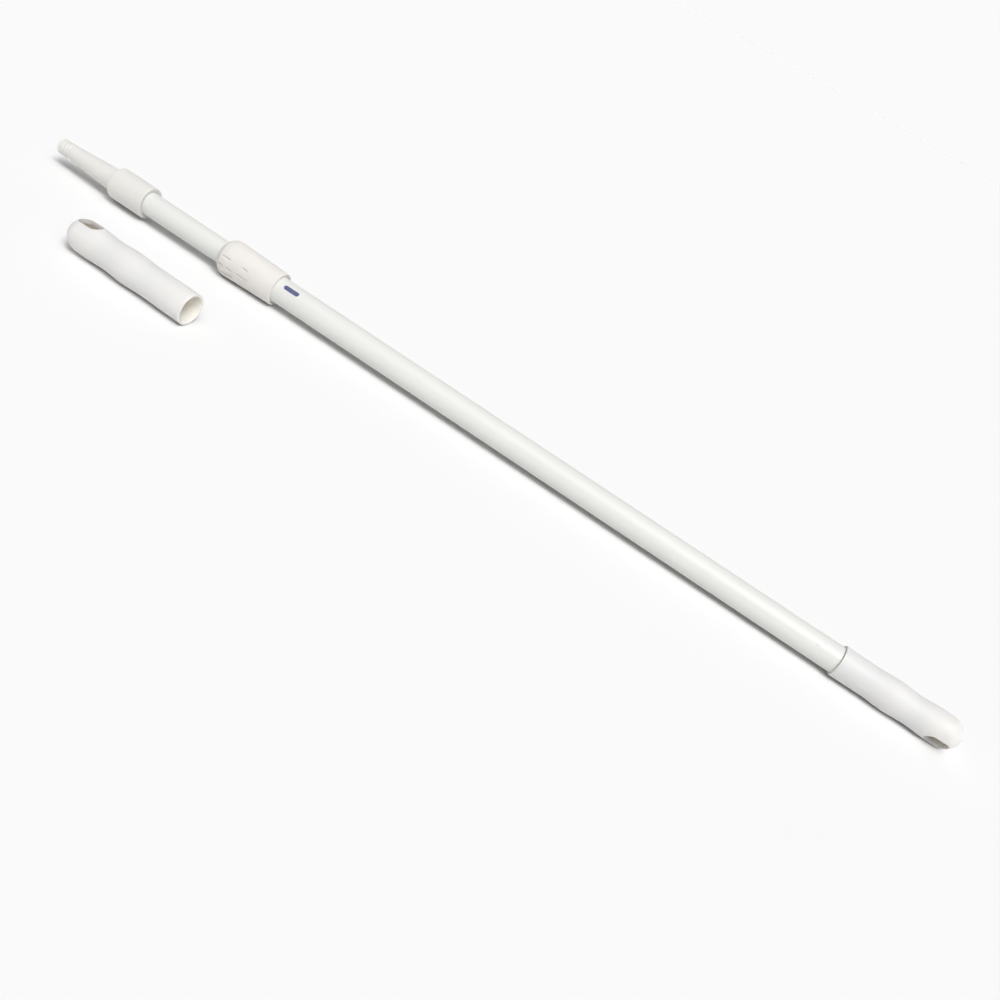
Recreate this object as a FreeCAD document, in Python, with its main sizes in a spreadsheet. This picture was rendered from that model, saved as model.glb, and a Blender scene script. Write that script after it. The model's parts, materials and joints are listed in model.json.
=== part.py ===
import FreeCAD, Part
import math
import os
import Sketcher

# Telescopic extension pole with a threaded tool cone, a twist lock and a hollow end grip,
# lying beside a loose spare grip. All sizes are in millimetres.
#
# Frame: the pole's axis is X. The origin is the centre of the thread's shoulder, where a tool
# seats, +X runs towards the end grip, +Z is up, and the spare grip lies in front of the pole,
# on the -Y side. Places along the pole are measured from a datum at datum_spot, just before
# the threaded tip.

os.makedirs("parts", exist_ok=True)
doc = FreeCAD.newDocument("extension_pole")

SIZES = {
    # threaded tip and cone
    "datum_spot": -26,
    "tip_start": 5,
    "shank_dia": 17.2,
    "shank_len": 3,
    "thread_dia": 16.8,
    "shoulder_spot": 26,
    "thread_pitch": 4,
    "thread_depth": 1,
    "thread_lead": 2.4,
    "thread_turns": 3.5,
    "thread_half_top": 1,
    "thread_half_root": 0.4,
    "groove_overrun": 0.2,
    "tip_chamfer": 2,
    "cone_small_dia": 17.7,
    "cone_big_dia": 25.2,
    "cone_end": 82.3,
    "core_dia": 9,
    "core_floor": 15,
    "skirt_dia": 29,
    "skirt_start": 83.8,
    "skirt_end": 125.3,
    "socket_floor": 85,
    "spigot_end": 112,
    "cone_pin_dia": 3,
    "cone_pin_spot": 104,
    "cone_pin_len": 4,
    # collar over the cone's skirt
    "collar_dia": 34.4,
    "collar_len": 43.2,
    "collar_chamfer": 1.2,
    "collar_edge": 0.6,
    "collar_lip": 1.5,
    # tubes
    "tube_wall": 0.6,
    "inner_dia": 25,
    "inner_len": 735,
    "outer_dia": 28,
    "outer_start": 245,
    "outer_len": 800,
    "bead_rise": 0.5,
    "bead_width": 2.4,
    "bead_gap": 0.3,
    # guide bushes on the inner tube
    "run_gap": 0.05,
    "bush_len": 30,
    "bush_slit": 2,
    "bush_spread": 130,
    "bush_gap": 0.4,
    # plugs
    "plug_shank": 15,
    "plug_flange": 3,
    "plug_flange_dia": 26.2,
    "plug_bore_dia": 8,
    "plug_chamfer": 0.8,
    "pin_sink": 0.1,
    "stop_start": 921,
    "stop_len": 20,
    "stop_bore_dia": 16,
    "stop_rivet_dia": 3,
    "stop_rivet_spot": 928,
    "stop_rivet_tilt": 33,
    "stop_rivet_len": 4.5,
    # twist lock
    "lock_start": 226,
    "lock_len": 69.7,
    "lock_nose_dia": 30,
    "lock_top_dia": 40,
    "lock_rim_dia": 36.4,
    "lock_shoulder": 7,
    "lock_edge": 0.8,
    "lock_nose_bore_dia": 25.5,
    "lock_nose_depth": 3.9,
    "lock_cavity_dia": 33.4,
    "lock_cavity_end": 14,
    "lock_thread_end": 40,
    "lock_skirt_bore_dia": 31.4,
    "lock_pitch": 4,
    "nut_half_top": 1.5,
    "nut_half_root": 1.02,
    "screw_half_top": 1.18,
    "screw_half_root": 0.7,
    "lock_screw_dia": 32.8,
    "lock_nut_bore_dia": 31.2,
    "lock_nut_root_dia": 33.2,
    "lock_round": 3,
    "screw_start": 238,
    "screw_len": 26,
    "screw_root_dia": 30.8,
    "lock_body_len": 57.4,
    "lock_body_dia": 30.6,
    "seat_dia": 29.2,
    "seat_depth": 5.6,
    "rivet_dia": 3,
    "rivet_spot": 284,
    "rivet_len": 1.9,
    # clamping ring and its slip washer
    "collet_start": 231.4,
    "collet_dia": 29,
    "collet_len": 11,
    "collet_nose": 6.6,
    "collet_end_dia": 25.8,
    "slip_start": 230,
    "slip_len": 1.3,
    "slip_dia": 32,
    "slip_bore_dia": 25.8,
    # grips
    "grip_start": 954,
    "grip_len": 130.2,
    "spare_len": 144.5,
    "grip_rim_dia": 32.4,
    "grip_neck_dia": 31.7,
    "grip_bulge_dia": 33.7,
    "grip_waist_dia": 31.4,
    "grip_knob_dia": 33.4,
    "grip_neck_back": 95,
    "grip_bulge_back": 73,
    "grip_waist_back": 50,
    "grip_knob_back": 28,
    "grip_dome_dia": 33,
    "grip_socket_back": 39,
    "grip_wall_end": 3.5,
    "grip_hollow_dia": 26,
    "grip_lead_len": 1.2,
    "grip_lead_rise": 0.6,
    "hang_len": 24,
    "hang_width": 15,
    "hang_back": 19,
    "hang_tilt": -56,
    "spare_mouth_spot": 283.3,
    "spare_side": -123,
    "spare_yaw": 178.7,
}

sizes = doc.addObject("Spreadsheet::Sheet", "sizes")
for row, (alias, value) in enumerate(SIZES.items(), start=1):
    sizes.set(f"A{row}", alias)
    sizes.set(f"B{row}", str(value))
    sizes.setAlias(f"B{row}", alias)
doc.recompute()


def cells(expression):
    """The expression with each alias written as a reference to the sheet."""
    words = []
    for word in expression.split():
        words.append(f"sizes.{word}" if word in SIZES else word)
    return " ".join(words)


def number(expression):
    """The expression's value in millimetres or degrees."""
    return float(sizes.evalExpression(cells(expression)))


def bind(thing, path, expression):
    thing.setExpression(path, cells(expression))


def origin_feature(body, role):
    return next(f for f in body.Origin.OriginFeatures if f.Role == role)


def new_body(label, start="0"):
    """A body with its own frame, moved along the pole to start."""
    body = doc.addObject("PartDesign::Body", label)
    body.Label = label
    bind(body, "Placement.Base.x", f"datum_spot + {start}")
    return body


def new_sketch(body, name, role="XY_Plane"):
    sketch = body.newObject("Sketcher::SketchObject", f"{body.Label}_{name}")
    sketch.AttachmentSupport = (origin_feature(body, role), [""])
    sketch.MapMode = "FlatFace"
    return sketch


def hold(sketch, geo, end, across, up):
    """Bind one end of a line to its distances from the sketch's origin."""
    for kind, axis, expression in (("DistanceX", -2, across), ("DistanceY", -1, up)):
        if number(expression) == 0:
            sketch.addConstraint(Sketcher.Constraint("PointOnObject", geo, end, axis))
            continue
        rule = Sketcher.Constraint(kind, -1, 1, geo, end, number(expression))
        index = sketch.addConstraint(rule)
        bind(sketch, f"Constraints[{index}]", expression)


def closed_outline(sketch, corners):
    """A closed chain of lines through corners, each given as two expressions."""
    spots = [FreeCAD.Vector(number(a), number(b), 0) for a, b in corners]
    lines = [Part.LineSegment(p, q) for p, q in zip(spots, spots[1:] + spots[:1])]
    sketch.addGeometry(lines, False)
    for geo in range(len(lines)):
        after = (geo + 1) % len(lines)
        sketch.addConstraint(Sketcher.Constraint("Coincident", geo, 2, after, 1))
    for geo, (a, b) in enumerate(corners):
        hold(sketch, geo, 1, a, b)


def turned(label, start, corners):
    """A body of revolution about the pole's axis; corners are (along, radius)."""
    body = new_body(label, start)
    sketch = new_sketch(body, "outline")
    closed_outline(sketch, corners)
    turn = body.newObject("PartDesign::Revolution", f"{label}_turned")
    turn.Profile = sketch
    turn.ReferenceAxis = (sketch, ["H_Axis"])
    turn.Angle = 360
    doc.recompute()
    return body


def cut(body, name, sketch, depth):
    """A pocket cut half the depth each way from its sketch, which must take material away."""
    before = body.Shape.Volume
    pocket = body.newObject("PartDesign::Pocket", f"{body.Label}_{name}")
    pocket.Profile = sketch
    pocket.Type = 0
    pocket.Midplane = True
    bind(pocket, "Length", depth)
    doc.recompute()
    if not body.Shape.Volume < before - 0.01:
        raise RuntimeError(f"{body.Label}: {name} cut nothing")


def circle_on_axis(sketch, along, diameter):
    """A circle centred on the sketch's own X axis."""
    spot = FreeCAD.Vector(number(along), 0, 0)
    circle = Part.Circle(spot, FreeCAD.Vector(0, 0, 1), number(diameter) / 2)
    sketch.addGeometry([circle], False)
    sketch.addConstraint(Sketcher.Constraint("PointOnObject", 0, 3, -1))
    reach = Sketcher.Constraint("DistanceX", -1, 1, 0, 3, number(along))
    bind(sketch, f"Constraints[{sketch.addConstraint(reach)}]", along)
    width = Sketcher.Constraint("Diameter", 0, number(diameter))
    bind(sketch, f"Constraints[{sketch.addConstraint(width)}]", diameter)


def cross_hole(body, name, along, diameter):
    """A round upright hole right across the body."""
    sketch = new_sketch(body, name)
    circle_on_axis(sketch, along, diameter)
    cut(body, f"{name}_cut", sketch, "outer_dia + 10")


def side_slit(body, length, width):
    """A slit along one side of a ring, so that it can spring."""
    sketch = new_sketch(body, "slit")
    low, high = "inner_dia / 2 - 2", "outer_dia / 2 + 4"
    over = f"{length} + 1"
    closed_outline(sketch, [("0 - 1", low), (over, low), (over, high), ("0 - 1", high)])
    cut(body, "slit_cut", sketch, width)


def groove_form(middle, half_top, half_root, surface, root):
    """Corners of a thread groove's section, wide at the surface and narrow at its root."""
    return [
        (f"{middle} - {half_top}", surface),
        (f"{middle} - {half_root}", root),
        (f"{middle} + {half_root}", root),
        (f"{middle} + {half_top}", surface),
    ]


def helical_cut(body, corners, pitch, turns):
    """A right-handed thread groove along the pole's axis."""
    before = body.Shape.Volume
    sketch = new_sketch(body, "thread_form")
    closed_outline(sketch, corners)
    groove = body.newObject("PartDesign::SubtractiveHelix", f"{body.Label}_thread")
    groove.Profile = sketch
    groove.ReferenceAxis = (sketch, ["H_Axis"])
    groove.Mode = 1
    bind(groove, "Pitch", pitch)
    bind(groove, "Turns", turns)
    doc.recompute()
    if not body.Shape.Volume < before - 1:
        raise RuntimeError(f"{body.Label}: the thread cut nothing")


def soften(body, name, spots, radius):
    """Round the circular edges at the given (along, radius) spots."""
    doc.recompute()
    base = body.Tip
    wanted = [(number(a), number(b)) for a, b in spots]
    names = []
    for index, edge in enumerate(base.Shape.Edges, start=1):
        curve = edge.Curve
        if not isinstance(curve, Part.Circle):
            continue
        for along, around in wanted:
            if abs(curve.Center.x - along) < 0.01 and abs(curve.Radius - around) < 0.01:
                names.append(f"Edge{index}")
    fillet = body.newObject("PartDesign::Fillet", f"{body.Label}_{name}")
    fillet.Base = (base, names)
    bind(fillet, "Radius", radius)
    doc.recompute()


def radial_pins(label, along, inner_reach, length, diameter, angles):
    """Separate radial pins round the pole, as one group."""
    pins = []
    for index, angle in enumerate(angles, start=1):
        pin = doc.addObject("Part::Cylinder", f"{label}_{index}")
        bind(pin, "Radius", f"{diameter} / 2")
        bind(pin, "Height", length)
        outward = FreeCAD.Vector(0, math.cos(math.radians(angle)), math.sin(math.radians(angle)))
        pin.Placement.Rotation = FreeCAD.Rotation(FreeCAD.Vector(0, 0, 1), outward)
        bind(pin, "Placement.Base.x", f"datum_spot + {along}")
        bind(pin, "Placement.Base.y", f"( {inner_reach} ) * {outward.y:.6f}")
        bind(pin, "Placement.Base.z", f"( {inner_reach} ) * {outward.z:.6f}")
        pins.append(pin)
    group = doc.addObject("Part::Compound", label)
    group.Label = label
    group.Links = pins
    doc.recompute()
    return group


# ---------------------------------------------------------------- threaded cone and collar

def make_tool_cone():
    """Moulded cone: thread, taper, and an annular socket that holds the inner tube."""
    bore = "inner_dia / 2 - tube_wall"
    body = turned("tool_cone", "0", [
        ("tip_start", "0"),
        ("tip_start", "thread_dia / 2 - tip_chamfer"),
        ("tip_start + tip_chamfer", "thread_dia / 2"),
        ("shoulder_spot - shank_len", "thread_dia / 2"),
        ("shoulder_spot - shank_len", "shank_dia / 2"),
        ("shoulder_spot", "shank_dia / 2"),
        ("shoulder_spot", "cone_small_dia / 2"),
        ("cone_end", "cone_big_dia / 2"),
        ("skirt_start", "cone_big_dia / 2"),
        ("skirt_start", "skirt_dia / 2"),
        ("skirt_end", "skirt_dia / 2"),
        ("skirt_end", "inner_dia / 2"),
        ("socket_floor", "inner_dia / 2"),
        ("socket_floor", bore),
        ("spigot_end", bore),
        ("spigot_end", "core_dia / 2"),
        ("core_floor", "core_dia / 2"),
        ("core_floor", "0"),
    ])
    surface = "thread_dia / 2 + groove_overrun"
    root = "thread_dia / 2 - thread_depth"
    lead = "tip_start + thread_lead"
    form = groove_form(lead, "thread_half_top", "thread_half_root", surface, root)
    helical_cut(body, form, "thread_pitch", "thread_turns")
    cross_hole(body, "pin_hole", "cone_pin_spot", "cone_pin_dia")
    return body


def make_cone_collar():
    """Cover sleeve over the cone's skirt, flush with the skirt's end."""
    return turned("cone_collar", "cone_end", [
        ("0", "cone_big_dia / 2"),
        ("0", "collar_dia / 2 - collar_chamfer"),
        ("collar_chamfer", "collar_dia / 2"),
        ("collar_len - collar_edge", "collar_dia / 2"),
        ("collar_len", "collar_dia / 2 - collar_edge"),
        ("collar_len", "skirt_dia / 2"),
        ("collar_lip", "skirt_dia / 2"),
        ("collar_lip", "cone_big_dia / 2"),
    ])


def make_cone_pins():
    """Two pins that lock the inner tube into the cone's socket, under the collar."""
    return radial_pins("cone_pins", "cone_pin_spot", "skirt_dia / 2 - cone_pin_len - pin_sink",
                       "cone_pin_len", "cone_pin_dia", (90, -90))


# ---------------------------------------------------------------- inner tube and its fittings

def bead(along):
    """Corners of one rolled bead that starts at the given place."""
    surface = "inner_dia / 2"
    crest = "inner_dia / 2 + bead_rise"
    return [
        (along, surface),
        (f"{along} + bead_width / 3", crest),
        (f"{along} + bead_width * 2 / 3", crest),
        (f"{along} + bead_width", surface),
    ]


UPPER_BUSH = "inner_len - bush_spread"
LOWER_BUSH = "inner_len - bush_len - bush_gap"


def make_inner_tube():
    """Thin lacquered tube; rolled beads keep the two guide bushes in place."""
    body = turned("inner_tube", "socket_floor", [
        ("0", "inner_dia / 2 - tube_wall"),
        ("0", "inner_dia / 2"),
        *bead(f"{UPPER_BUSH} - bead_width - bead_gap"),
        *bead(f"{UPPER_BUSH} + bush_len + bead_gap"),
        *bead(f"{LOWER_BUSH} - bead_width - bead_gap"),
        ("inner_len", "inner_dia / 2"),
        ("inner_len", "inner_dia / 2 - tube_wall"),
    ])
    cross_hole(body, "pin_hole", "cone_pin_spot - socket_floor", "cone_pin_dia")
    return body


def make_guide_bush(label, place):
    """Split low-friction bush between the two tubes."""
    body = turned(label, f"socket_floor + {place}", [
        ("0", "inner_dia / 2 + run_gap"),
        ("0", "outer_dia / 2 - tube_wall - run_gap"),
        ("bush_len", "outer_dia / 2 - tube_wall - run_gap"),
        ("bush_len", "inner_dia / 2 + run_gap"),
    ])
    side_slit(body, "bush_len", "bush_slit")
    return body


def make_inner_end_plug():
    """Flanged plug that closes the inner tube and holds the lower bush on it."""
    return turned("inner_end_plug", "socket_floor + inner_len - plug_shank", [
        ("0", "plug_bore_dia / 2"),
        ("0", "inner_dia / 2 - tube_wall - plug_chamfer"),
        ("plug_chamfer", "inner_dia / 2 - tube_wall"),
        ("plug_shank", "inner_dia / 2 - tube_wall"),
        ("plug_shank", "plug_flange_dia / 2"),
        ("plug_shank + plug_flange - plug_chamfer", "plug_flange_dia / 2"),
        ("plug_shank + plug_flange", "plug_flange_dia / 2 - plug_chamfer"),
        ("plug_shank + plug_flange", "plug_bore_dia / 2"),
    ])


# ---------------------------------------------------------------- outer tube and its fittings

def stop_hole(body, along):
    """The stop rivet's hole, through the front of a tube or plug only and tilted upwards."""
    name = "stop_hole"
    sketch = new_sketch(body, name, "XZ_Plane")
    lean = FreeCAD.Rotation(FreeCAD.Vector(1, 0, 0), -number("stop_rivet_tilt"))
    sketch.AttachmentOffset = FreeCAD.Placement(FreeCAD.Vector(0, 0, 0), lean)
    circle_on_axis(sketch, along, "stop_rivet_dia")
    before = body.Shape.copy()
    pocket = body.newObject("PartDesign::Pocket", f"{body.Label}_{name}_cut")
    pocket.Profile = sketch
    pocket.Type = 0
    bind(pocket, "Length", "outer_dia / 2 + 2")
    pocket.Reversed = True
    doc.recompute()
    removed = before.cut(body.Shape)
    if removed.Volume < 0.1 or removed.BoundBox.YMax > 0 or removed.BoundBox.ZMin < 0:
        raise RuntimeError(f"{body.Label}: {name} is not on the upper front")


def make_outer_tube():
    """Thin glossy tube, with one small rivet hole near the end grip."""
    body = turned("outer_tube", "outer_start", [
        ("0", "outer_dia / 2 - tube_wall"),
        ("0", "outer_dia / 2"),
        ("outer_len", "outer_dia / 2"),
        ("outer_len", "outer_dia / 2 - tube_wall"),
    ])
    cross_hole(body, "rivet_holes", "rivet_spot - outer_start", "rivet_dia")
    stop_hole(body, "stop_rivet_spot - outer_start")
    return body


def make_stop_plug():
    """Ring inside the outer tube that ends the inner tube's travel when closed."""
    body = turned("stop_plug", "stop_start", [
        ("0", "stop_bore_dia / 2"),
        ("0", "outer_dia / 2 - tube_wall - plug_chamfer"),
        ("plug_chamfer", "outer_dia / 2 - tube_wall"),
        ("stop_len", "outer_dia / 2 - tube_wall"),
        ("stop_len", "stop_bore_dia / 2"),
    ])
    stop_hole(body, "stop_rivet_spot - stop_start")
    return body


def make_stop_rivet():
    """Flush rivet through the tube wall into the stop plug."""
    angle = 180 - number("stop_rivet_tilt")
    return radial_pins("stop_rivet", "stop_rivet_spot", "outer_dia / 2 - stop_rivet_len - pin_sink",
                       "stop_rivet_len", "stop_rivet_dia", (angle,))


def make_outer_end_plug():
    """Plug in the outer tube's lower end, which keeps its edge from cutting the grip."""
    return turned("outer_end_plug", "outer_start + outer_len - plug_shank", [
        ("0", "0"),
        ("0", "outer_dia / 2 - tube_wall - plug_chamfer"),
        ("plug_chamfer", "outer_dia / 2 - tube_wall"),
        ("plug_shank", "outer_dia / 2 - tube_wall"),
        ("plug_shank", "0"),
    ])


# ---------------------------------------------------------------- twist lock

def make_lock_body():
    """Threaded body fixed on the outer tube; its mouth is the clamping ring's seat."""
    body = turned("lock_body", "screw_start", [
        ("0", "seat_dia / 2"),
        ("0", "lock_screw_dia / 2"),
        ("screw_len", "lock_screw_dia / 2"),
        ("screw_len", "lock_body_dia / 2"),
        ("lock_body_len", "lock_body_dia / 2"),
        ("lock_body_len", "outer_dia / 2"),
        ("outer_start - screw_start", "outer_dia / 2"),
        ("outer_start - screw_start", "inner_dia / 2 + run_gap"),
        ("seat_depth", "inner_dia / 2 + run_gap"),
    ])
    cross_hole(body, "rivet_holes", "rivet_spot - screw_start", "rivet_dia")
    surface = "lock_screw_dia / 2 + groove_overrun"
    middle = "lock_pitch * 0.75 - lock_pitch * 2"
    form = groove_form(middle, "screw_half_top", "screw_half_root", surface, "screw_root_dia / 2")
    helical_cut(body, form, "lock_pitch", "screw_len / lock_pitch + 3")
    return body


def make_lock_rivets():
    """Two rivets that fix the lock body to the outer tube, under the sleeve's skirt."""
    return radial_pins("lock_rivets", "rivet_spot", "lock_body_dia / 2 - rivet_len - pin_sink",
                       "rivet_len", "rivet_dia", (90, -90))


def make_lock_sleeve():
    """Twist sleeve: a nut with a rounded shoulder, tapering towards the grip."""
    body = turned("lock_sleeve", "lock_start", [
        ("0", "lock_nose_bore_dia / 2"),
        ("0", "lock_nose_dia / 2"),
        ("lock_shoulder", "lock_top_dia / 2"),
        ("lock_len - lock_edge", "lock_rim_dia / 2"),
        ("lock_len", "lock_rim_dia / 2 - lock_edge"),
        ("lock_len", "lock_skirt_bore_dia / 2"),
        ("lock_thread_end", "lock_skirt_bore_dia / 2"),
        ("lock_thread_end", "lock_nut_bore_dia / 2"),
        ("lock_cavity_end", "lock_nut_bore_dia / 2"),
        ("lock_cavity_end", "lock_cavity_dia / 2"),
        ("lock_nose_depth", "lock_cavity_dia / 2"),
        ("lock_nose_depth", "lock_nose_bore_dia / 2"),
    ])
    soften(body, "shoulder", [
        ("0", "lock_nose_dia / 2"),
        ("lock_shoulder", "lock_top_dia / 2"),
    ], "lock_round")
    surface = "lock_nut_bore_dia / 2 - groove_overrun"
    middle = "screw_start - lock_start + lock_pitch * 1.25 - lock_pitch * 2"
    form = groove_form(middle, "nut_half_top", "nut_half_root", surface, "lock_nut_root_dia / 2")
    helical_cut(body, form, "lock_pitch", "screw_len / lock_pitch + 2.25")
    return body


def make_collet():
    """Split clamping ring round the inner tube; its cone sits in the lock body."""
    body = turned("collet", "collet_start", [
        ("0", "inner_dia / 2 + run_gap"),
        ("0", "collet_dia / 2"),
        ("collet_nose", "collet_dia / 2"),
        ("collet_len", "collet_end_dia / 2"),
        ("collet_len", "inner_dia / 2 + run_gap"),
    ])
    side_slit(body, "collet_len", "bush_slit")
    return body


def make_slip_ring():
    """Washer between the turning sleeve and the clamping ring, which does not turn."""
    return turned("slip_ring", "slip_start", [
        ("0", "slip_bore_dia / 2"),
        ("0", "slip_dia / 2"),
        ("slip_len", "slip_dia / 2"),
        ("slip_len", "slip_bore_dia / 2"),
    ])


# ---------------------------------------------------------------- grips

def half_wave(start, end):
    """Two equal arcs, tangent to each other, between two places where the outline runs level."""
    rise = (end - start) / 2
    radius = (rise.x ** 2 + rise.y ** 2) / (2 * rise.y)
    reach = math.asin(rise.x / radius)
    sag = radius * (1 - math.cos(reach / 2))
    step = FreeCAD.Vector(radius * math.sin(reach / 2), sag, 0)
    middle = start + rise
    first = Part.Arc(start, start + step, middle).toShape()
    second = Part.Arc(middle, end - step, end).toShape()
    return [first, second]


def grip_outline(length):
    """Outside edges from the mouth at x = 0: a straight taper, finger waves and a round end."""
    around = number("grip_dome_dia") / 2
    dome = length - around
    waves = [FreeCAD.Vector(0, number("grip_rim_dia") / 2, 0)]
    for name in ("neck", "bulge", "waist", "knob"):
        along = length - number(f"grip_{name}_back")
        waves.append(FreeCAD.Vector(along, number(f"grip_{name}_dia") / 2, 0))
    waves.append(FreeCAD.Vector(dome, around, 0))
    edges = [Part.LineSegment(waves[0], waves[1]).toShape()]
    for start, end in zip(waves[1:], waves[2:]):
        edges += half_wave(start, end)
    return [*edges, quarter_circle(dome, around)]


def quarter_circle(start, radius):
    """A quarter of a circle from (start, radius) to the axis at (start + radius, 0)."""
    side = FreeCAD.Vector(start, radius, 0)
    slant = radius * math.sqrt(0.5)
    middle = FreeCAD.Vector(start + slant, slant, 0)
    return Part.Arc(side, middle, FreeCAD.Vector(start + radius, 0, 0)).toShape()


def hang_slot(length):
    """A long hole right across the round end."""
    width = number("hang_width")
    half = (number("hang_len") - width) / 2
    middle = length - number("hang_back")
    tall = 2 * number("outer_dia")
    box = Part.makeBox(2 * half, width, tall, FreeCAD.Vector(middle - half, -width / 2, -tall / 2))
    for along in (middle - half, middle + half):
        end = Part.makeCylinder(width / 2, tall, FreeCAD.Vector(along, 0, -tall / 2))
        box = box.fuse(end)
    return box.removeSplitter()


def make_grip(label, length):
    """Hollow grip: a socket for the outer tube, a smaller hollow end and a hang hole."""
    socket = length - number("grip_socket_back")
    bore = number("outer_dia") / 2
    hollow = number("grip_hollow_dia") / 2
    inner_end = length - number("grip_wall_end")
    outside = grip_outline(length)
    shoulder = socket + bore - hollow
    dome_start = inner_end - hollow
    corners = [
        (0, bore + number("grip_lead_rise")),
        (number("grip_lead_len"), bore),
        (socket, bore),
        (shoulder, hollow),
        (dome_start, hollow),
    ]
    spots = [FreeCAD.Vector(a, b, 0) for a, b in corners]
    inside = [Part.LineSegment(p, q).toShape() for p, q in zip(spots, spots[1:])]
    inside.append(quarter_circle(dome_start, hollow))
    mouth = Part.LineSegment(FreeCAD.Vector(0, number("grip_rim_dia") / 2, 0), spots[0]).toShape()
    tip = Part.LineSegment(FreeCAD.Vector(inner_end, 0, 0), FreeCAD.Vector(length, 0, 0)).toShape()
    wire = Part.Wire(Part.__sortEdges__([*outside, tip, *inside, mouth]))
    solid = Part.Face(wire).revolve(FreeCAD.Vector(0, 0, 0), FreeCAD.Vector(1, 0, 0), 360)
    grip = doc.addObject("Part::Feature", label)
    grip.Label = label
    grip.Shape = solid.cut(hang_slot(length))
    return grip


def make_end_grip():
    grip = make_grip("end_grip", number("grip_len"))
    turn = FreeCAD.Rotation(FreeCAD.Vector(1, 0, 0), number("hang_tilt"))
    spot = FreeCAD.Vector(number("datum_spot + grip_start"), 0, 0)
    grip.Placement = FreeCAD.Placement(spot, turn)
    return grip


def make_spare_grip():
    """A second grip, loose on the ground, its mouth towards +X."""
    grip = make_grip("spare_grip", number("spare_len"))
    turn = FreeCAD.Rotation(FreeCAD.Vector(0, 0, 1), number("spare_yaw"))
    drop = number("grip_bulge_dia / 2 - lock_top_dia / 2")
    spot = FreeCAD.Vector(number("datum_spot + spare_mouth_spot"), number("spare_side"), drop)
    grip.Placement = FreeCAD.Placement(spot, turn)
    return grip


parts = [
    make_tool_cone(),
    make_cone_collar(),
    make_cone_pins(),
    make_inner_tube(),
    make_guide_bush("guide_bush_upper", UPPER_BUSH),
    make_guide_bush("guide_bush_lower", LOWER_BUSH),
    make_inner_end_plug(),
    make_outer_tube(),
    make_stop_plug(),
    make_stop_rivet(),
    make_outer_end_plug(),
    make_lock_body(),
    make_lock_rivets(),
    make_lock_sleeve(),
    make_collet(),
    make_slip_ring(),
    make_end_grip(),
    make_spare_grip(),
]

doc.recompute()
for thing in doc.Objects:
    if "Invalid" in thing.State or "Error" in thing.State:
        raise RuntimeError(f"{thing.Label} failed: {thing.State}")
for part in parts:
    if part.Shape.isNull() or not part.Shape.isValid():
        raise RuntimeError(f"{part.Label} has no valid shape")
for part in parts:
    part.Shape.exportStep(f"parts/{part.Label}.step")
    box = part.Shape.optimalBoundingBox()
    print(f"{part.Label:18s} x {box.XMin:7.1f} to {box.XMax:7.1f}, {part.Shape.Volume:9.0f} mm3")
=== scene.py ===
import bmesh
import bpy
import json
import math
from mathutils import Matrix, Vector


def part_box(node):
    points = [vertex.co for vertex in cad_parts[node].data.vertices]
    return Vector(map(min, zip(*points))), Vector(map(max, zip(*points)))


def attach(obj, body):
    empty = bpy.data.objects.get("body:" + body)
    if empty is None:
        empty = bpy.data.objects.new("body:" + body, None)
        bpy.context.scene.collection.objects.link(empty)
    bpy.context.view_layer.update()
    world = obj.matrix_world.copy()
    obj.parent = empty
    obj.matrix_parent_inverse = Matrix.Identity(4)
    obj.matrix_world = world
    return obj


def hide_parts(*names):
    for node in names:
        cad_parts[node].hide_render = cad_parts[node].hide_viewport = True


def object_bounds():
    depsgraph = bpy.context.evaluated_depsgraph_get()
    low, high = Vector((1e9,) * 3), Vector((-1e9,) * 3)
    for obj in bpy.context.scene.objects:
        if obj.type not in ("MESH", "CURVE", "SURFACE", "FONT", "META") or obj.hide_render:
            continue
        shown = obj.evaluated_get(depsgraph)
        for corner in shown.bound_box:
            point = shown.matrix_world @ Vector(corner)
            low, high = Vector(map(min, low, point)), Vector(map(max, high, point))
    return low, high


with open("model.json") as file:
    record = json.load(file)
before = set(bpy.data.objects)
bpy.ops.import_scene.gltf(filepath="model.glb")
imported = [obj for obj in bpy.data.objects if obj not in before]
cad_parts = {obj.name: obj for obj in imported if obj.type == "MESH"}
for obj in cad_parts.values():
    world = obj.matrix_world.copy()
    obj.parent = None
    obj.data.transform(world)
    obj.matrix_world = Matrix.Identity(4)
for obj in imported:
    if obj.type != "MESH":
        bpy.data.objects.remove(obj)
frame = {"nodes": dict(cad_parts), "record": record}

# Looks for the telescopic pole. Sizes are in millimetres and become metres when a mesh is made;
# places along the pole come from the CAD nodes' boxes and from the record's mounts.

MM = 0.001
cad_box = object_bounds()
record = frame["record"]


def ends(node):
    """Where a CAD node starts and ends along the pole, in millimetres."""
    low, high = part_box(node)
    return low.x / MM, high.x / MM


def mount(name):
    """A mount's place in millimetres and its axis."""
    found = next(m for m in record["mounts"] if m["name"] == name)
    return Vector(found["pos_m"]) / MM, Vector(found["axis"]).normalized()


# ---------------------------------------------------------------- mesh code

def smooth(value):
    """0 to 1 with level ends."""
    value = min(1.0, max(0.0, value))
    return value * value * (3 - 2 * value)


def steps(start, end, size):
    """Evenly spaced places from start to end, no more than size apart."""
    count = max(1, math.ceil(abs(end - start) / size))
    return [start + (end - start) * k / count for k in range(count + 1)]


ARC_PARTS = 8
NEARLY_STRAIGHT = math.radians(175)
MOST_OF_HALF = 0.49


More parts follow.
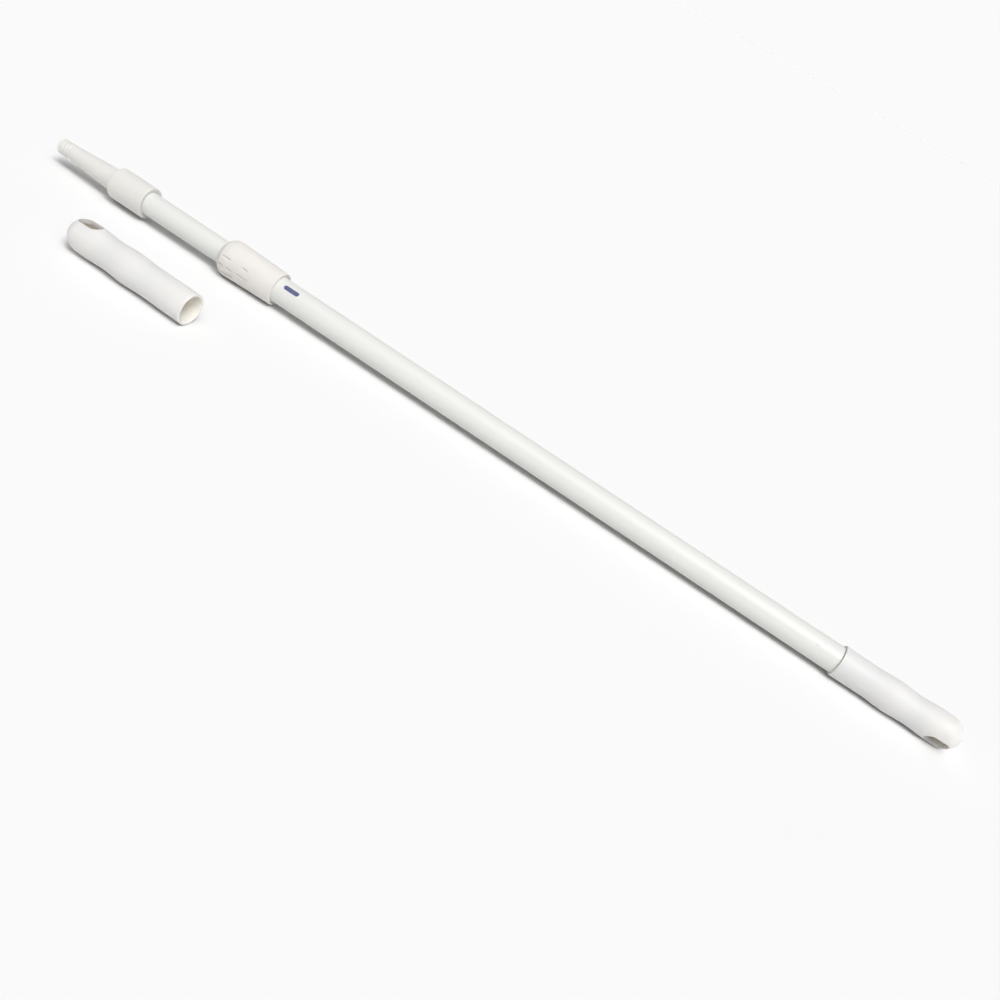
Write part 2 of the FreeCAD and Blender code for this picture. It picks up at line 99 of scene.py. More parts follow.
def corner_arc(before, corner, after, radius):
    """Points of the arc that rounds a corner. It takes less than half of either side."""
    back = before - corner
    on = after - corner
    turn = back.angle(on)
    if turn > NEARLY_STRAIGHT or radius == 0:
        return [corner]
    reach = min(radius / math.tan(turn / 2), MOST_OF_HALF * back.length, MOST_OF_HALF * on.length)
    radius = reach * math.tan(turn / 2)
    middle = (back.normalized() + on.normalized()).normalized() * (radius / math.sin(turn / 2))
    centre = corner + middle
    first = corner + back.normalized() * reach - centre
    last = corner + on.normalized() * reach - centre
    sweep = first.angle_signed(last)
    points = []
    for k in range(ARC_PARTS + 1):
        spin = Matrix.Rotation(-sweep * k / ARC_PARTS, 2)
        points.append(centre + spin @ first)
    return points


LONGEST_RUN = 40.0
SUPPORT = 0.4


def outline(corners):
    """A closed line through (x, r, rounding) corners, with support points beside each corner."""
    spots = [Vector(c[:2]) for c in corners]
    count = len(corners)
    arcs = []
    for k in range(count):
        after = spots[(k + 1) % count]
        arcs.append(corner_arc(spots[k - 1], spots[k], after, corners[k][2]))
    line = []
    for k in range(count):
        line += arcs[k]
        start, end = arcs[k][-1], arcs[(k + 1) % count][0]
        run = end - start
        if run.length < 3 * SUPPORT:
            continue
        unit = run.normalized()
        near, far = start + unit * SUPPORT, end - unit * SUPPORT
        for share in steps(0, 1, LONGEST_RUN / (far - near).length):
            line.append(near.lerp(far, share))
    return line


SHARP = 38


def finish_mesh(name, mesh, material, sharp=SHARP):
    """A smooth-shaded object whose sharp edges stay sharp."""
    shape = bmesh.new()
    shape.from_mesh(mesh)
    bmesh.ops.remove_doubles(shape, verts=shape.verts, dist=1e-6)
    bmesh.ops.recalc_face_normals(shape, faces=shape.faces)
    shape.to_mesh(mesh)
    shape.free()
    mesh.shade_smooth()
    mesh.set_sharp_from_angle(angle=math.radians(sharp))
    mesh.materials.append(material)
    piece = bpy.data.objects.new(name, mesh)
    bpy.context.scene.collection.objects.link(piece)
    return piece


ON_AXIS = 1e-6


def lathe(name, line, material, around, surface=None, place=None):
    """A closed line of (x, r) points turned about the X axis. surface(x, r, angle) shapes the radius."""
    vertices, rings = [], []
    for x, r in line:
        if r < ON_AXIS:
            rings.append([len(vertices)])
            vertices.append((x * MM, 0, 0))
            continue
        ring = []
        for k in range(around):
            angle = 2 * math.pi * k / around
            radius = surface(x, r, angle) if surface else r
            ring.append(len(vertices))
            spot = (x, radius * math.cos(angle), radius * math.sin(angle))
            vertices.append([c * MM for c in spot])
        rings.append(ring)
    faces = []
    for here, there in zip(rings, rings[1:] + rings[:1]):
        if len(here) == 1 and len(there) == 1:
            continue
        for k in range(around):
            n = (k + 1) % around
            if len(here) == 1:
                faces.append((here[0], there[n], there[k]))
            elif len(there) == 1:
                faces.append((here[k], here[n], there[0]))
            else:
                faces.append((here[k], here[n], there[n], there[k]))
    mesh = bpy.data.meshes.new(name)
    mesh.from_pydata(vertices, [], faces)
    if place:
        mesh.transform(place)
    return finish_mesh(name, mesh, material)


def stand_for(piece, node):
    """The piece stands in for a CAD node: the node is hidden, and the piece joins the node's body."""
    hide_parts(node)
    body = next(b for b, nodes in record["behaviour"]["bodies"].items() if node in nodes)
    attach(piece, body)
    return piece


# ---------------------------------------------------------------- materials

# Most values of a noise texture lie between these.
NOISE_LOW, NOISE_HIGH = 0.3, 0.7


class Finish:
    """A material with helpers that add nodes in object space, in metres."""

    def __init__(self, name, color, roughness):
        self.material = bpy.data.materials.new(name)
        self.material.use_nodes = True
        self.tree = self.material.node_tree
        self.shader = self.tree.nodes["Principled BSDF"]
        self.shader.inputs["Base Color"].default_value = (*color, 1)
        self.shader.inputs["Roughness"].default_value = roughness
        self.spot = self.tree.nodes.new("ShaderNodeTexCoord").outputs["Object"]

    def noise(self, scale, detail, stretch=(1, 1, 1)):
        sized = self.tree.nodes.new("ShaderNodeMapping")
        sized.inputs["Scale"].default_value = stretch
        self.tree.links.new(self.spot, sized.inputs["Vector"])
        node = self.tree.nodes.new("ShaderNodeTexNoise")
        node.inputs["Scale"].default_value = scale
        node.inputs["Detail"].default_value = detail
        self.tree.links.new(sized.outputs["Vector"], node.inputs["Vector"])
        return node.outputs["Fac"]

    def spread(self, value, low, high):
        """A noise value brought to the range from low to high."""
        node = self.tree.nodes.new("ShaderNodeMapRange")
        node.inputs["From Min"].default_value = NOISE_LOW
        node.inputs["From Max"].default_value = NOISE_HIGH
        node.inputs["To Min"].default_value = low
        node.inputs["To Max"].default_value = high
        self.tree.links.new(value, node.inputs["Value"])
        return node.outputs["Result"]

    def rough(self, value, low, high):
        self.tree.links.new(self.spread(value, low, high), self.shader.inputs["Roughness"])

    def tint(self, value, first, second):
        node = self.tree.nodes.new("ShaderNodeMix")
        node.data_type = "RGBA"
        node.inputs["A"].default_value = (*first, 1)
        node.inputs["B"].default_value = (*second, 1)
        self.tree.links.new(self.spread(value, 0, 1), node.inputs["Factor"])
        self.tree.links.new(node.outputs["Result"], self.shader.inputs["Base Color"])

    def bump(self, value, height, strength):
        node = self.tree.nodes.new("ShaderNodeBump")
        node.inputs["Strength"].default_value = strength
        node.inputs["Distance"].default_value = height
        self.tree.links.new(value, node.inputs["Height"])
        self.tree.links.new(node.outputs["Normal"], self.shader.inputs["Normal"])

    def depth(self, weight, radius, scale):
        """Light that goes in and comes out again, with its reach in metres."""
        self.shader.inputs["Subsurface Weight"].default_value = weight
        self.shader.inputs["Subsurface Radius"].default_value = radius
        self.shader.inputs["Subsurface Scale"].default_value = scale


def lacquer(name, color, shade, roughness, coat):
    """Sprayed white lacquer on drawn tube: a glossy coat with faint orange peel."""
    finish = Finish(name, color, roughness)
    finish.shader.inputs["Specular IOR Level"].default_value = 0.25
    finish.shader.inputs["Coat Weight"].default_value = coat
    finish.shader.inputs["Coat Roughness"].default_value = 0.1
    finish.tint(finish.noise(14, 4), color, shade)
    drawn = finish.noise(900, 2, (0.02, 1, 1))
    finish.rough(drawn, roughness - 0.05, roughness + 0.06)
    finish.bump(finish.noise(650, 2), 0.00003, 0.5)
    return finish.material


def moulded(name, color, shade, rough, grain, height, glow):
    """Injection-moulded white plastic: spark-eroded grain, faint flow marks, and light in its depth."""
    low, high = rough
    finish = Finish(name, color, low)
    finish.shader.inputs["Specular IOR Level"].default_value = 0.35
    finish.depth(0.5, (1.0, 0.86, 0.72), glow)
    finish.tint(finish.noise(22, 3, (0.35, 1, 1)), color, shade)
    finish.rough(finish.noise(120, 4), low, high)
    finish.bump(finish.noise(grain, 3), height, 0.6)
    return finish.material


def ink(name, color):
    """Printed ink, a little matt and slightly uneven in strength."""
    finish = Finish(name, color, 0.35)
    finish.shader.inputs["Specular IOR Level"].default_value = 0.2
    lighter = tuple(c * 1.2 + 0.003 for c in color)
    finish.tint(finish.noise(300, 3), color, lighter)
    finish.rough(finish.noise(800, 2), 0.3, 0.45)
    return finish.material


def nylon(name, color, shade):
    """Uncoloured nylon, slightly waxy."""
    finish = Finish(name, color, 0.5)
    finish.depth(0.15, (1.0, 0.8, 0.5), 0.002)
    finish.tint(finish.noise(60, 3), color, shade)
    finish.rough(finish.noise(200, 3), 0.4, 0.6)
    finish.bump(finish.noise(1200, 2), 0.00002, 0.4)
    return finish.material


def plated(name, color, shade):
    """Zinc-plated steel with a brushed end face."""
    finish = Finish(name, color, 0.4)
    finish.shader.inputs["Metallic"].default_value = 1.0
    finish.tint(finish.noise(500, 4), color, shade)
    finish.rough(finish.noise(1500, 3, (1, 0.1, 1)), 0.28, 0.5)
    finish.bump(finish.noise(2500, 2), 0.00001, 0.5)
    return finish.material


outer_lacquer = lacquer("outer_lacquer", (0.664, 0.667, 0.641), (0.652, 0.654, 0.627), 0.3, 0.2)
inner_lacquer = lacquer("inner_lacquer", (0.660, 0.663, 0.637), (0.648, 0.651, 0.624), 0.38, 0.1)
cone_plastic = moulded(
    "cone_plastic", (0.662, 0.650, 0.626), (0.648, 0.635, 0.610),
    rough=(0.38, 0.5), grain=1600, height=0.00002, glow=0.002,
)
lock_plastic = moulded(
    "lock_plastic", (0.700, 0.680, 0.652), (0.686, 0.664, 0.636),
    rough=(0.42, 0.55), grain=1600, height=0.00003, glow=0.0002,
)
grip_plastic = moulded(
    "grip_plastic", (0.672, 0.664, 0.650), (0.660, 0.650, 0.636),
    rough=(0.45, 0.6), grain=1300, height=0.00004, glow=0.007,
)
# Painted light: a brighter, warmer copy of the grip plastic for the grip's inside faces. It stands in for
# light that comes through the wall, not for a different plastic.
painted_light_grip_inside = moulded(
    "painted_light_grip_inside_plastic", (0.88, 0.84, 0.765), (0.86, 0.82, 0.745),
    rough=(0.5, 0.65), grain=900, height=0.00003, glow=0.008,
)
slate_ink = ink("slate_ink", (0.085, 0.095, 0.19))
natural_nylon = nylon("natural_nylon", (0.74, 0.71, 0.6), (0.68, 0.65, 0.54))
zinc = plated("zinc_plate", (0.46, 0.46, 0.455), (0.38, 0.38, 0.38))

CAD_FINISHES = {
    "white_lacquer": inner_lacquer,
    "white_plastic": lock_plastic,
    "grip_plastic": grip_plastic,
    "natural_nylon": natural_nylon,
    "zinc_rivet": zinc,
}
for part in record["subparts"]:
    for slot in frame["nodes"][part["node"]].material_slots:
        slot.material = CAD_FINISHES[part["material_slot"]]


# ---------------------------------------------------------------- threaded cone and collar

# The groove's half widths are at its top and at its flat bottom; lead is from the tip to its start.
THREAD = {"crest": 8.4, "depth": 1.0, "pitch": 4.0, "lead": 2.4, "turns": 3.5, "half": 1.0, "flat": 0.4}
THREAD_SOFTENING = 0.25
FADE_TURNS = 0.3


def thread_groove(x, angle, start):
    """How deep the right-handed groove is at a place, with ends that fade out."""
    turn = angle / (2 * math.pi)
    along = (x - start - THREAD["lead"]) / THREAD["pitch"] - turn
    whole = round(along)
    away = abs(along - whole) * THREAD["pitch"]
    top = THREAD["half"] + THREAD_SOFTENING
    wall = (top - away) / (top - THREAD["flat"])
    count = whole + turn
    fade = smooth(count / FADE_TURNS) * smooth((THREAD["turns"] - count) / FADE_TURNS)
    return THREAD["depth"] * smooth(wall) * fade


tip, skirt_end = ends("tool_cone")
collar_start, collar_end = ends("cone_collar")
tube_start, tube_end = ends("inner_tube")
shoulder = mount("tool_shank")[0].x
INNER_R = 12.5
WALL = 0.6
COLLAR_FRONT = 1.5


def make_tool_cone():
    """The thread, the plain shank, the cone, and the skirt with a spigot inside it for the tube."""
    crest = THREAD["crest"]
    tip_flat, shank_length, shank_r = 2.0, 3.0, 8.6
    cone_front_r, cone_back_r, skirt_r = 8.85, 12.6, 14.45
    tube_hole_r, spigot_r, spigot_end = INNER_R + 0.02, INNER_R - WALL, tube_start + 27
    hollow_r, hollow_start = 4.5, tip + 10
    shank_start, skirt_start = shoulder - shank_length, collar_start + COLLAR_FRONT
    front = [(tip, 0, 0), (tip, crest - tip_flat, 1.6)]
    threaded = [(x, crest, 0) for x in steps(tip + tip_flat, shank_start, 0.25)]
    back = [
        (shank_start, shank_r, 0.05),
        (shoulder, shank_r, 0.1),
        (shoulder, cone_front_r, 0.2),
        (collar_start, cone_back_r, 0),
        (skirt_start, cone_back_r, 0),
        (skirt_start, skirt_r, 0.3),
        (skirt_end, skirt_r, 0.2),
        (skirt_end, tube_hole_r, 0.15),
        (tube_start, tube_hole_r, 0),
        (tube_start, spigot_r, 0),
        (spigot_end, spigot_r, 0.3),
        (spigot_end, hollow_r, 0),
        (hollow_start, hollow_r, 0),
        (hollow_start, 0, 0),
    ]
    line = outline(front + threaded + back)

    def surface(x, r, angle):
        if x > shank_start or r < crest - 0.01:
            return r
        return r - thread_groove(x, angle, tip)

    return stand_for(lathe("cone_with_thread", line, cone_plastic, 144, surface), "tool_cone")


def make_collar():
    """The cover over the cone's skirt, with a chamfer at its front."""
    cover_r, chamfer, skirt_hole_r, cone_hole_r = 17.2, 1.2, 14.5, 12.65
    line = outline([
        (collar_start, cone_hole_r, 0.1),
        (collar_start, cover_r - chamfer, 0.7),
        (collar_start + chamfer, cover_r, 1.0),
        (collar_end, cover_r, 0.8),
        (collar_end, skirt_hole_r, 0.15),
        (collar_start + COLLAR_FRONT, skirt_hole_r, 0),
        (collar_start + COLLAR_FRONT, cone_hole_r, 0),
    ])
    return stand_for(lathe("collar_cover", line, cone_plastic, 160), "cone_collar")


make_tool_cone()
make_collar()


# ---------------------------------------------------------------- tubes

# Rolled beads hold the upper bush on both sides and the lower bush on its front.
UPPER_BUSH = ends("guide_bush_upper")
LOWER_BUSH = ends("guide_bush_lower")
BEAD_AWAY = 1.7
BEADS = [UPPER_BUSH[0] - BEAD_AWAY, UPPER_BUSH[1] + BEAD_AWAY, LOWER_BUSH[0] - BEAD_AWAY]
BEAD_RISE = 0.5
BEAD_HALF = 1.2


def make_inner_tube():
    """A thin tube with a rolled bead at each of BEADS."""
    beaded = []
    for bead in BEADS:
        beaded += [(x, INNER_R, 0) for x in steps(bead - BEAD_HALF, bead + BEAD_HALF, 0.3)]
    line = outline(
        [(tube_start, INNER_R, 0.1)] + beaded
        + [(tube_end, INNER_R, 0.2), (tube_end, INNER_R - WALL, 0.2), (tube_start, INNER_R - WALL, 0)]
    )

    def surface(x, r, angle):
        away = min(abs(x - bead) for bead in BEADS)
        if r < INNER_R - 0.3 or away > BEAD_HALF:
            return r
        return r + BEAD_RISE * 0.5 * (1 + math.cos(math.pi * away / BEAD_HALF))

    return stand_for(lathe("inner_tube_lacquered", line, inner_lacquer, 128, surface), "inner_tube")


OUTER_R = 14.0
outer_start, outer_end = ends("outer_tube")
rivet_low, rivet_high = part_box("stop_rivet")
RIVET = (rivet_low + rivet_high) / 2 / MM
RIVET_ANGLE = math.atan2(RIVET.z, RIVET.y)
RIVET_R = 1.5
RIVET_PARTS = 48
DIMPLE_R = 2.4
DIMPLE_DEPTH = 0.16


def apart(angle, other):
    """The angle between two directions, from -pi to pi."""
    return (angle - other + math.pi) % (2 * math.pi) - math.pi


def make_outer_tube():
    """A thin tube, dimpled round the stop rivet."""
    near_rivet = steps(RIVET.x - 5, RIVET.x + 5, 0.4)
    line = outline(
        [(outer_start, OUTER_R, 0.25)] + [(x, OUTER_R, 0) for x in near_rivet]
        + [(outer_end, OUTER_R, 0.2), (outer_end, OUTER_R - WALL, 0.2), (outer_start, OUTER_R - WALL, 0.1)]
    )

    def surface(x, r, angle):
        if r < OUTER_R - 0.05 or abs(x - RIVET.x) > DIMPLE_R:
            return r
        away = math.hypot(x - RIVET.x, r * apart(angle, RIVET_ANGLE))
        return r - DIMPLE_DEPTH * smooth((DIMPLE_R - away) / (DIMPLE_R - RIVET_R))

    return stand_for(lathe("outer_tube_lacquered", line, outer_lacquer, 256, surface), "outer_tube")


def bored(piece, cutter):
    """Cut the cutter's shape out of the piece, and remove the cutter."""
    cut = piece.modifiers.new("cut", "BOOLEAN")
    cut.operation = "DIFFERENCE"
    cut.solver = "EXACT"
    cut.object = cutter
    bpy.context.view_layer.update()
    graph = bpy.context.evaluated_depsgraph_get()
    mesh = bpy.data.meshes.new_from_object(piece.evaluated_get(graph))
    piece.modifiers.clear()
    piece.data = mesh
    bpy.data.objects.remove(cutter)
    mesh.shade_smooth()
    mesh.set_sharp_from_angle(angle=math.radians(SHARP))


def prism(name, path, length, place):
    """A straight prism over a closed flat path, centred on place along its own Z."""
    count = len(path)
    vertices = [(x * MM, y * MM, z * MM) for z in (-length / 2, length / 2) for x, y in path]
    faces = [tuple(range(count)), tuple(reversed(range(count, 2 * count)))]
    faces += [(k, (k + 1) % count, (k + 1) % count + count, k + count) for k in range(count)]
    mesh = bpy.data.meshes.new(name)
    mesh.from_pydata(vertices, [], faces)
    mesh.transform(place)
    shape = bmesh.new()
    shape.from_mesh(mesh)
    bmesh.ops.recalc_face_normals(shape, faces=shape.faces)
    shape.to_mesh(mesh)
    shape.free()
    piece = bpy.data.objects.new(name, mesh)
    bpy.context.scene.collection.objects.link(piece)
    return piece


def looking(place, along, across):
    """A matrix at place, in millimetres, whose Z is along and whose X is nearest to across."""
    z = along.normalized()
    x = (across - z * across.dot(z)).normalized()
    y = z.cross(x)
    turn = Matrix((x, y, z)).transposed().to_4x4()
    return Matrix.Translation(place * MM) @ turn


def circle_points(centre_x, radius, angles):
    """The (x, y) points of a circle at these angles."""
    return [(centre_x + radius * math.cos(a), radius * math.sin(a)) for a in angles]


def bore_for_rivet(tube):
    """The hole that the stop rivet sits in."""
    path = circle_points(0, RIVET_R, [2 * math.pi * k / RIVET_PARTS for k in range(RIVET_PARTS)])
    out = Vector((0, RIVET.y, RIVET.z)).normalized()
    on_surface = Vector((RIVET.x, 0, 0)) + out * OUTER_R
    place = looking(on_surface, out, Vector((1, 0, 0)))
    bored(tube, prism("rivet_bore", path, length=3, place=place))


make_inner_tube()
bore_for_rivet(make_outer_tube())


# ---------------------------------------------------------------- twist sleeve

nose, rim = ends("lock_sleeve")
SLEEVE_TOP = 7.0
BAR_HALF = 1.2
BAR_WALL = 0.5
BAR_DEPTH = 1.2
# Grip grooves: (start from the nose, length, degrees above the side).
BARS = [
    (8.3, 9.4, 18.8), (31.5, 7.5, 18.8),
    (5.8, 6.5, -8.8), (15.5, 6.4, -8.8), (26.2, 16.0, -8.8),
    (9.5, 15.0, -33.0),
]


def bar_groove(x, r, angle):
    """How deep the grip grooves are at a place on the sleeve; both sides have the same set."""
    deep = 0.0
    for start, length, up in BARS:
        for side in (math.pi, 0):
            across = r * apart(angle, side - math.radians(up))
            if abs(across) > BAR_HALF:
                continue
            beyond = max(nose + start + BAR_HALF - x, 0, x - (nose + start + length - BAR_HALF))
            away = math.hypot(across, beyond)
            deep = max(deep, smooth((BAR_HALF - away) / BAR_WALL))
    return BAR_DEPTH * deep


def make_lock_sleeve():
    """A round shoulder and a gentle taper outside; a chamber and the thread's core inside."""
    top_x, top_r, rim_r = nose + SLEEVE_TOP, 20.0, 18.2
    tube_hole_r, core_r, core_start = 12.75, 15.7, rim - 29
    chamber_r, chamber_start = 16.75, nose + 3.9
    least_outside_r, nose_end = 17.5, nose + 3
    grooved = []
    for x in steps(top_x + 3.5, nose + 43.5, 0.45):
        grooved.append((x, top_r + (rim_r - top_r) * (x - top_x) / (rim - top_x), 0))
    line = outline(
        [(nose, tube_hole_r, 0.3), (nose, 15.2, 2.4), (top_x - 2.2, 19.0, 4.0)]
        + grooved
        + [
            (rim, rim_r, 0.7),
            (rim, core_r, 0.2),
            (core_start, core_r, 0),
            (core_start, chamber_r, 0),
            (chamber_start, chamber_r, 0),
            (chamber_start, tube_hole_r, 0),
        ]
    )

    def surface(x, r, angle):
        if r < least_outside_r or x < nose_end:
            return r
        return r - bar_groove(x, r, angle)

    return stand_for(lathe("twist_sleeve_shell", line, lock_plastic, 320, surface), "lock_sleeve")


make_lock_sleeve()


# ---------------------------------------------------------------- printed bar on the outer tube

FILM = 0.04


def printed(name, material, shape, x_from, x_to, up_from, up_to, size):
    """A thin film of ink on the outer tube, wherever shape(x, arc) holds.

    arc is the way along the surface, up from the side. The angles are in degrees, and size is the
    length of the small squares that the film is made of.
    """
    columns = steps(x_from, x_to, size)
    rows = steps(math.radians(up_from), math.radians(up_to), size / OUTER_R)
    inside = {}
    for i in range(len(columns) - 1):
        for j in range(len(rows) - 1):
            x = (columns[i] + columns[i + 1]) / 2
            arc = OUTER_R * (rows[j] + rows[j + 1]) / 2
            inside[i, j] = shape(x, arc)
    vertices, faces, index = [], [], {}

    def corner(i, j, lift):
        key = (i, j, lift)
        if key not in index:
            r = OUTER_R + (FILM if lift else -FILM)
            index[key] = len(vertices)
            vertices.append((columns[i] * MM, -r * math.cos(rows[j]) * MM, r * math.sin(rows[j]) * MM))
        return index[key]

    for (i, j), kept in inside.items():
        if not kept:
            continue
        square = [(i, j), (i + 1, j), (i + 1, j + 1), (i, j + 1)]
        faces.append([corner(*s, True) for s in square])
        faces.append([corner(*s, False) for s in reversed(square)])
        beside = [(i, j - 1), (i + 1, j), (i, j + 1), (i - 1, j)]
        for k in range(4):
            if not inside.get(beside[k]):
                a, b = square[k], square[(k + 1) % 4]
                faces.append([corner(*a, False), corner(*b, False), corner(*b, True), corner(*a, True)])
    mesh = bpy.data.meshes.new(name)
    mesh.from_pydata(vertices, [], faces)
    piece = finish_mesh(name, mesh, material, sharp=30)
    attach(piece, "outer_section")
    return piece


def make_bar():
    """A plain rounded bar of ink along the tube, with nothing on it."""
    middle = rim + 17
    level = OUTER_R * math.radians(51.2)
    half_long, half_wide = 9.0, 2.5

    def bar(x, arc):
        past_middle = max(abs(x - middle) - (half_long - half_wide), 0)
        return math.hypot(past_middle, arc - level) < half_wide

    printed("plain_bar", slate_ink, bar, middle - 9.5, middle + 9.5, 39, 63, 0.22)


make_bar()


# ---------------------------------------------------------------- grips

HANG_LONG, HANG_WIDE, HANG_BACK = 24.0, 15.0, 19.0
HANG_PARTS = 32
DOME_R = 16.5
DOME_PARTS = 24
END_WALL = 3.5
HOLLOW_R = 13.0
SOCKET_R = 14.0
SOCKET_BACK = 39.0
SOCKET_MOUNT_DEPTH = 10
MOUTH_R = 16.2
# Half waves from the round end to the mouth: (distance from the round end, outside radius).
WIDEST_BACK = 73
LAST_WAVE, LAST_WAVE_R, MOUTH_FLARE, FLARE_LENGTH = 95, 15.85, 0.35, 40
WAVES = [(DOME_R, DOME_R), (28, 16.7), (50, 15.7), (WIDEST_BACK, 16.85), (LAST_WAVE, LAST_WAVE_R)]


def grip_radius(back):
    """The outside radius at a distance from the round end, where the shallow finger waves are."""
    for (near, first), (far, second) in zip(WAVES, WAVES[1:]):
        if back <= far:
            return first + (second - first) * smooth((back - near) / (far - near))
    return LAST_WAVE_R + MOUTH_FLARE * smooth((back - LAST_WAVE) / FLARE_LENGTH)


def half_dome(end, radius):
    """The corners of a quarter circle from the axis's end, at x = end, to its full radius."""
    corners = [(end, 0, 0)]
    for k in range(DOME_PARTS - 1, -1, -1):
        lift = math.pi / 2 * k / DOME_PARTS
        corners.append((end - radius + radius * math.sin(lift), radius * math.cos(lift), 0))
    return corners


def line_with_painted_light(grip, place):
    """The faces inside the grip, which look towards its axis, get a brighter, warmer copy of the grip
    plastic: painted light inside the mouth and the hang hole.
    """
    axis = place.to_3x3() @ Vector((1, 0, 0))
    grip.data.materials.append(painted_light_grip_inside)
    for face in grip.data.polygons:
        out = face.center - place.translation
        out -= axis * out.dot(axis)
        face.material_index = int(out.length < (SOCKET_R + 0.3) * MM and out.dot(face.normal) < 0)


def hang_slot():
    """The outline of the long hang hole, with round ends."""
    half = (HANG_LONG - HANG_WIDE) / 2
    path = []
    for side, turn in ((half, -math.pi / 2), (-half, math.pi / 2)):
        angles = [turn + math.pi * k / HANG_PARTS for k in range(HANG_PARTS + 1)]
        path += circle_points(side, HANG_WIDE / 2, angles)
    return path


def make_grip(name, node, length, place, hole_at, hole_along, along):
    """A hollow grip from its mouth at place, with its round end length away."""
    outside = [(length - back, grip_radius(back), 0) for back in steps(length - 1.2, DOME_R, 1.5)]
    dome = half_dome(length, DOME_R)[::-1][1:]
    inner = half_dome(length - END_WALL, HOLLOW_R)
    socket = length - SOCKET_BACK
    line = outline(
        [(0, SOCKET_R + 0.2, 0.15), (0, MOUTH_R, 1.3)] + outside + dome + inner
        + [(socket + 1, HOLLOW_R, 0), (socket, SOCKET_R, 0), (0.6, SOCKET_R, 0.1)]
    )
    grip = lathe(name, line, grip_plastic, around=160, place=place)
    line_with_painted_light(grip, place)
    through = looking(hole_at, hole_along, along)
    bored(grip, prism(name + "_slot", hang_slot(), length=60, place=through))
    return stand_for(grip, node)


def make_end_grip():
    hole_at, hole_along = mount("hang_hole")
    place = Matrix.Translation((grip_start * MM, 0, 0))
    length = grip_end - grip_start
    make_grip("end_grip_shell", "end_grip", length, place, hole_at, hole_along, Vector((1, 0, 0)))


def make_spare_grip():
    """The loose grip, placed and measured by its two mounts."""
    socket_at, socket_out = mount("spare_socket")
    hole_at, hole_along = mount("spare_hang_hole")
    mouth = socket_at + socket_out * SOCKET_MOUNT_DEPTH
    inwards = -socket_out
    length = (hole_at - mouth).dot(inwards) + HANG_BACK
    upright = Vector((0, 0, 1))
    turn = Matrix((inwards, upright.cross(inwards), upright)).transposed()
    place = Matrix.Translation(mouth * MM) @ turn.to_4x4()
    make_grip("spare_grip_shell", "spare_grip", length, place, hole_at, hole_along, inwards)


grip_start, grip_end = ends("end_grip")
make_end_grip()
make_spare_grip()


# ---------------------------------------------------------------- floor, light and camera

FLOOR_PAPER = (0.78, 0.78, 0.78)
FLOOR_HALF = 12.0
FLOOR_GAP = 0.00005


def make_floor():
    """The floor touches the sleeve's shoulder and the end grip's widest place."""
    front_x, front_z = nose + SLEEVE_TOP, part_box("lock_sleeve")[0].z / MM
    rear_x, rear_z = grip_end - WIDEST_BACK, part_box("end_grip")[0].z / MM
    slope = (rear_z - front_z) / (rear_x - front_x)
    far = FLOOR_HALF
    corners = [(-far, -far), (far, -far), (far, far), (-far, far)]
    level = (front_z - slope * front_x) * MM - FLOOR_GAP
    mesh = bpy.data.meshes.new("floor")
    mesh.from_pydata([(x, y, level + slope * x) for x, y in corners], [], [(0, 1, 2, 3)])
    finish = Finish("paper_floor", FLOOR_PAPER, 0.9)
    finish.shader.inputs["Specular IOR Level"].default_value = 0
    finish.tint(finish.noise(3, 2), FLOOR_PAPER, tuple(c * 0.995 for c in FLOOR_PAPER))
    mesh.materials.append(finish.material)
    floor = bpy.data.objects.new("floor", mesh)
    bpy.context.scene.collection.objects.link(floor)


# Strengths of the world's light. Heights and lobes are cosines: 0 level, 1 straight up or straight on.
FLOOR_WHITE = 0.956
DOME = 0.11
HORIZON, DOME_FROM, PATCHES_FROM = 0.11, 0.22, 0.3
SKY_LOBE, SKY_EDGE = 2.95, 0.74
SKY_FROM = Vector((0.25, -0.40, 0.88)).normalized()
BACK_LOBE, BACK_EDGE = 0.36, 0.6
BACK_FROM = Vector((0.0, 0.75, 0.66)).normalized()
KEY_FROM = Vector((0.40, -0.44, 0.85)).normalized()
SUN = 1.5
SUN_ANGLE = 20


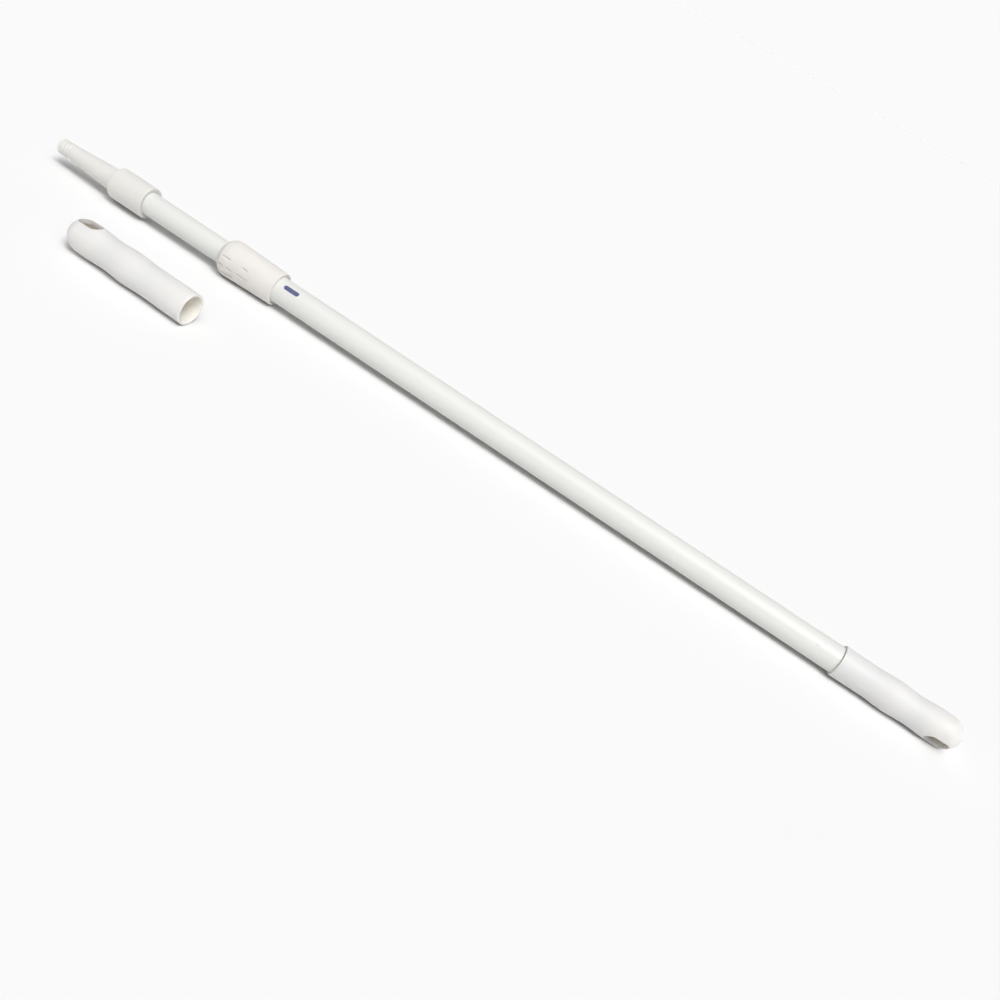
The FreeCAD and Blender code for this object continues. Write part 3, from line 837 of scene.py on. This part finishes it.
def make_world():
    """A studio dome: as bright as the floor near the horizon and dim above.

    A large soft patch lights the object from above and in front, and a weak one from behind. The
    camera itself sees a plain backdrop of the floor's brightness.
    """
    world = bpy.data.worlds.new("studio")
    world.use_nodes = True
    tree = world.node_tree
    direction = tree.nodes.new("ShaderNodeTexCoord").outputs["Generated"]

    def spread(value, low, high, to_low, to_high):
        node = tree.nodes.new("ShaderNodeMapRange")
        node.interpolation_type = "SMOOTHSTEP"
        for name, number in zip(("From Min", "From Max", "To Min", "To Max"), (low, high, to_low, to_high)):
            node.inputs[name].default_value = number
        tree.links.new(value, node.inputs["Value"])
        return node.outputs["Result"]

    def towards(aim):
        node = tree.nodes.new("ShaderNodeVectorMath")
        node.operation = "DOT_PRODUCT"
        node.inputs[1].default_value = aim
        tree.links.new(direction, node.inputs[0])
        return node.outputs["Value"]

    def joined(first, second, how):
        node = tree.nodes.new("ShaderNodeMath")
        node.operation = how
        tree.links.new(first, node.inputs[0])
        tree.links.new(second, node.inputs[1])
        return node.outputs["Value"]

    height = towards((0, 0, 1))
    dome = spread(height, HORIZON, DOME_FROM, FLOOR_WHITE, DOME)
    sky = spread(towards(SKY_FROM), SKY_EDGE, 1.0, 0, SKY_LOBE)
    back = spread(towards(BACK_FROM), BACK_EDGE, 1.0, 0, BACK_LOBE)
    above = spread(height, HORIZON, PATCHES_FROM, 0, 1)
    patches = joined(joined(sky, back, "ADD"), above, "MULTIPLY")
    ray = tree.nodes.new("ShaderNodeLightPath")
    seen = tree.nodes.new("ShaderNodeMix")
    tree.links.new(ray.outputs["Is Camera Ray"], seen.inputs["Factor"])
    tree.links.new(joined(dome, patches, "ADD"), seen.inputs["A"])
    seen.inputs["B"].default_value = FLOOR_WHITE
    background = tree.nodes["Background"]
    background.inputs["Color"].default_value = (1, 1, 1, 1)
    tree.links.new(seen.outputs["Result"], background.inputs["Strength"])
    bpy.context.scene.world = world


def make_key():
    """A large soft lamp, far away: above, in front and towards the end grip."""
    lamp = bpy.data.lights.new("key", "SUN")
    lamp.energy = SUN
    lamp.angle = math.radians(SUN_ANGLE)
    light = bpy.data.objects.new("key", lamp)
    light.location = KEY_FROM * 3
    light.rotation_euler = (-KEY_FROM).to_track_quat("-Z", "Y").to_euler()
    bpy.context.scene.collection.objects.link(light)


def make_camera():
    """A view from above and in front, rolled so that the pole runs down across the picture."""
    azimuth, elevation, roll = math.radians(-8.29), math.radians(30.87), math.radians(29.712)
    distance = 0.885
    aim = Vector((0.5853, -0.0682, cad_box[0].z))
    flat = math.cos(elevation)
    forward = Vector((math.sin(azimuth) * flat, math.cos(azimuth) * flat, -math.sin(elevation)))
    level = forward.cross(Vector((0, 0, 1))).normalized()
    upright = level.cross(forward)
    right = level * math.cos(roll) + upright * math.sin(roll)
    up = upright * math.cos(roll) - level * math.sin(roll)
    lens = bpy.data.cameras.new("camera")
    lens.sensor_width = 36
    lens.lens = 34.17
    lens.clip_start = 0.05
    camera = bpy.data.objects.new("camera", lens)
    turn = Matrix((right, up, -forward)).transposed().to_4x4()
    camera.matrix_world = Matrix.Translation(aim - forward * distance) @ turn
    bpy.context.scene.collection.objects.link(camera)
    bpy.context.scene.camera = camera


make_floor()
make_world()
make_key()
make_camera()
bpy.context.scene.view_settings.view_transform = "Standard"
bpy.context.view_layer.update()
